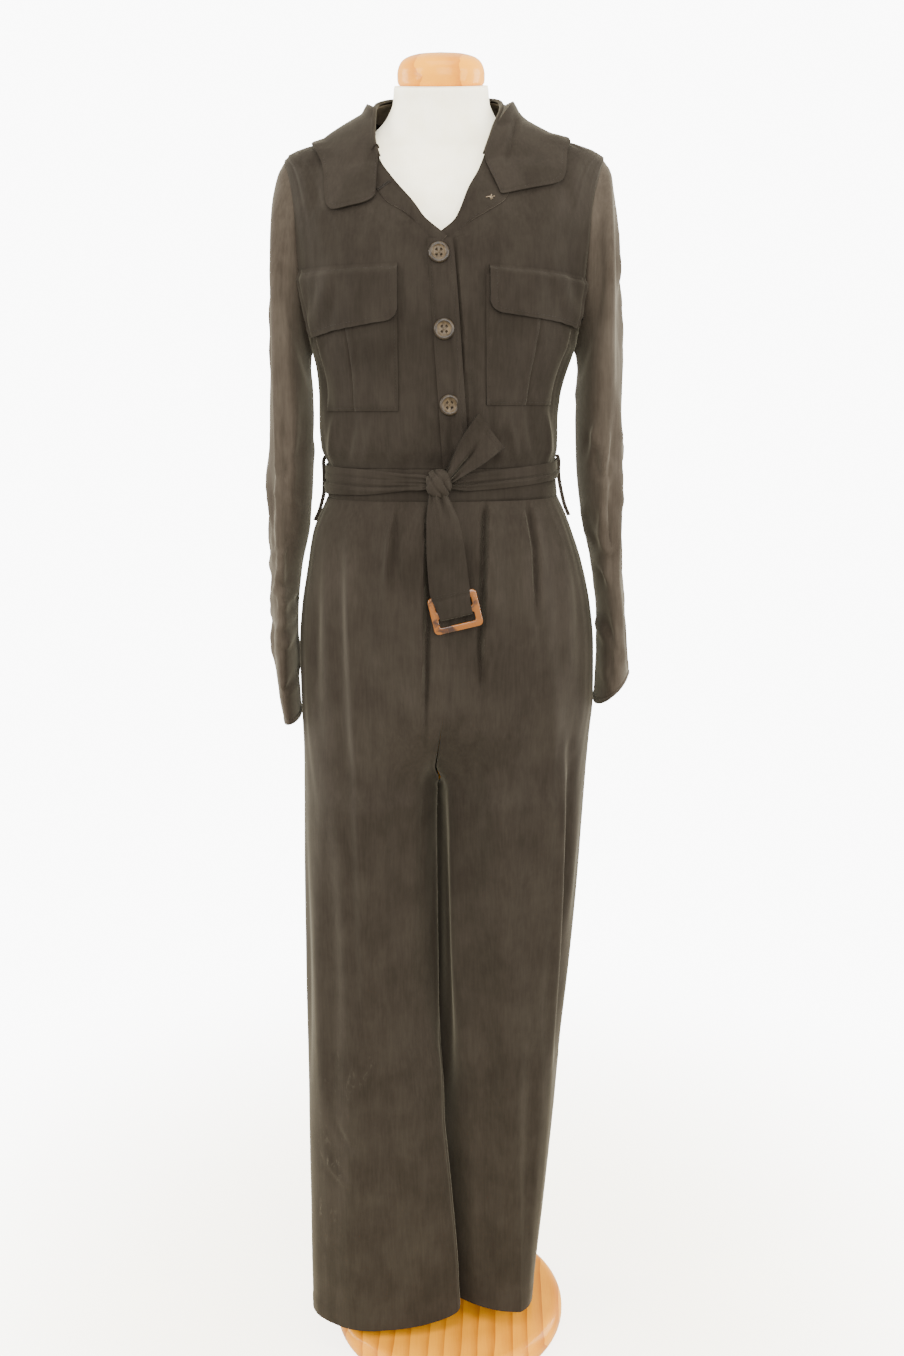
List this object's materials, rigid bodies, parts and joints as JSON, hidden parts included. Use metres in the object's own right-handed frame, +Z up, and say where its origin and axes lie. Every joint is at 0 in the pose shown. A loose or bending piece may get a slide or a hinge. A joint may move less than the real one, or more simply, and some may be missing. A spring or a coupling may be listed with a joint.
{
  "type": "jumpsuit on dress form",
  "caption": "Long-sleeved button-front jumpsuit with flapped chest pockets, pleated wide legs and a tied belt with a buckle, worn on a limbless dress form on a round wooden stand.",
  "frame": {"origin": "centre of the round base's underside, which rests on the floor", "axes": "+Z up, the jumpsuit's front towards -Y, the wearer's left towards +X"},
  "size_m": [0.451, 0.32, 1.677],
  "materials": {
    "suede_cloth": "soft sueded cloth, dark olive brown, pale sheen at the edges",
    "form_jersey": "plain off-white knitted jersey",
    "lacquered_wood": "clear gloss lacquer over honey-coloured wood",
    "horn": "polished horn look, mottled brown",
    "tortoiseshell": "polished amber tortoiseshell look"
  },
  "bodies": {
    "root": {"back": "suede_cloth", "belt": "suede_cloth", "belt_knot": "suede_cloth", "belt_loop_left": "suede_cloth", "belt_loop_right": "suede_cloth", "belt_tail_down": "suede_cloth", "belt_tail_up": "suede_cloth", "buckle": "tortoiseshell", "button_low": "horn", "button_middle": "horn", "button_top": "horn", "collar_leaf": "suede_cloth", "collar_stand": "suede_cloth", "flap_left": "suede_cloth", "flap_right": "suede_cloth", "form_torso": "form_jersey", "front_left": "suede_cloth", "front_right": "suede_cloth", "neck_cap": "lacquered_wood", "placket": "suede_cloth", "pocket_left": "suede_cloth", "pocket_right": "suede_cloth", "sleeve_left": "suede_cloth", "sleeve_right": "suede_cloth", "stand_base": "lacquered_wood", "stand_pole": "lacquered_wood", "trouser_back_left": "suede_cloth", "trouser_back_right": "suede_cloth", "trouser_front_left": "suede_cloth", "trouser_front_right": "suede_cloth", "waistband": "suede_cloth"}
  },
  "joints": []
}
